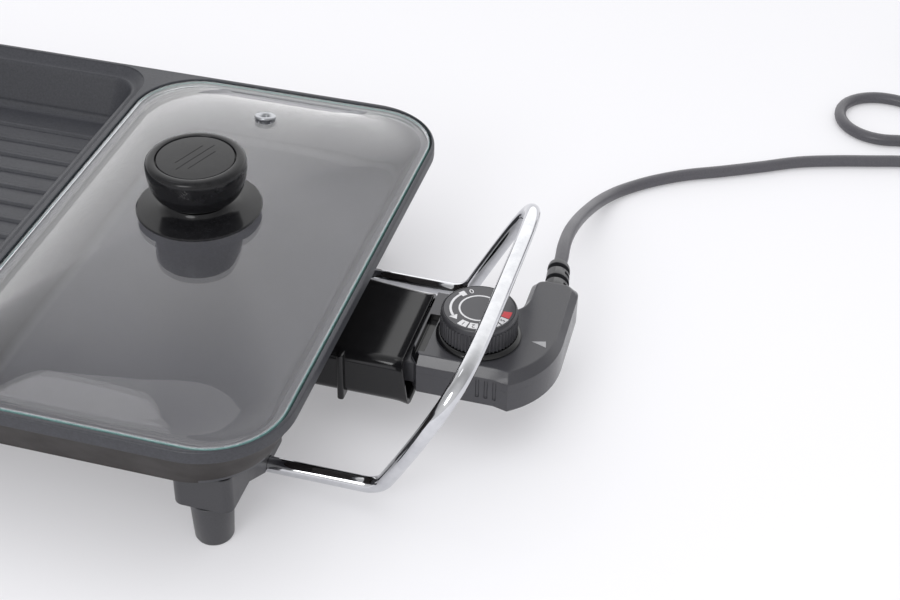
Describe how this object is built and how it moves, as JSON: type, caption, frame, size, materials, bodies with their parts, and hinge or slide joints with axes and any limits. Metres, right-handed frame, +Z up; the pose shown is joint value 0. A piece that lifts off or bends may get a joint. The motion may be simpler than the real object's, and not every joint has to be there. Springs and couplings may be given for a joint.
{
  "type": "electric table grill",
  "caption": "Electric table grill: a long tray with a ribbed well and a pot well under a loose domed glass lid, wire handles, short feet, and a plug-in dial thermostat on a cord.",
  "frame": {"origin": "on the table below the middle of the grill's bounding box, cord left out", "axes": "+X along the tray towards the plug-in thermostat, +Y towards the side opposite the camera, +Z up"},
  "size_m": [0.9469, 0.6354, 0.1271],
  "materials": {
    "tray_coating": "grey non-stick coating on die-cast aluminium",
    "element_steel": "satin, heat stained",
    "plain_steel": "satin",
    "chrome_wire": "polished",
    "nickel": "satin",
    "brass": "satin",
    "clear_glass": "clear tempered",
    "black_gloss": "gloss",
    "black_satin": "satin",
    "grey_satin": "satin",
    "grey_rubber": "matt",
    "white_ceramic": "matt"
  },
  "bodies": {
    "base": {"cooking_plate": "tray_coating", "heating_element": "element_steel", "foot_bracket_1": "black_satin", "foot_1": "black_satin", "bracket_screw_1": "plain_steel", "foot_bracket_2": "black_satin", "foot_2": "black_satin", "bracket_screw_2": "plain_steel", "foot_bracket_3": "black_satin", "foot_3": "black_satin", "bracket_screw_3": "plain_steel", "foot_bracket_4": "black_satin", "foot_4": "black_satin", "bracket_screw_4": "plain_steel", "handle_right": "chrome_wire", "handle_left": "chrome_wire", "element_clip_1": "plain_steel", "element_clip_2": "plain_steel", "element_clip_3": "plain_steel", "element_clip_4": "plain_steel", "element_clip_5": "plain_steel", "element_clip_6": "plain_steel", "socket_housing": "black_gloss", "socket_screw_rear": "plain_steel", "terminal_pin_rear": "nickel", "socket_screw_front": "plain_steel", "terminal_pin_front": "nickel", "probe_guide": "plain_steel"},
    "lid": {"lid_glass": "clear_glass", "knob_guard": "black_gloss", "knob_grip": "black_gloss", "knob_cap": "black_satin", "knob_insert": "brass", "knob_washer": "grey_rubber", "knob_screw": "plain_steel", "steam_vent": "plain_steel"},
    "controller": {"controller_base": "grey_satin", "controller_cover": "grey_satin", "contact_carrier": "black_satin", "contact_sleeve_rear": "brass", "contact_sleeve_front": "brass", "probe_tube": "plain_steel", "push_rod": "white_ceramic", "thermostat_frame": "plain_steel", "contact_blade": "brass", "dial_bezel": "black_gloss", "cover_screw_1": "plain_steel", "cover_screw_2": "plain_steel", "strain_relief": "grey_rubber", "power_cord": "grey_rubber", "cord_coil": "grey_rubber", "cord_tie": "black_satin", "plug_body": "black_satin", "plug_pin_a": "nickel", "plug_pin_b": "nickel"},
    "dial": {"dial_knob": "black_satin", "dial_face": "grey_satin", "dial_spindle": "plain_steel"}
  },
  "joints": [
    {"name": "lid_lift", "type": "slide", "parent": "base", "child": "lid", "axis": [0, 0, 1], "range_m": [0, 0.12]},
    {"name": "controller_unplug", "type": "slide", "parent": "base", "child": "controller", "axis": [1, 0, 0], "range_m": [0, 0.09]},
    {"name": "dial_turn", "type": "hinge", "parent": "controller", "child": "dial", "pos_m": [0.28336, 0, 0.0539], "axis": [0, 0, 1], "range_deg": [0, 235]}
  ]
}
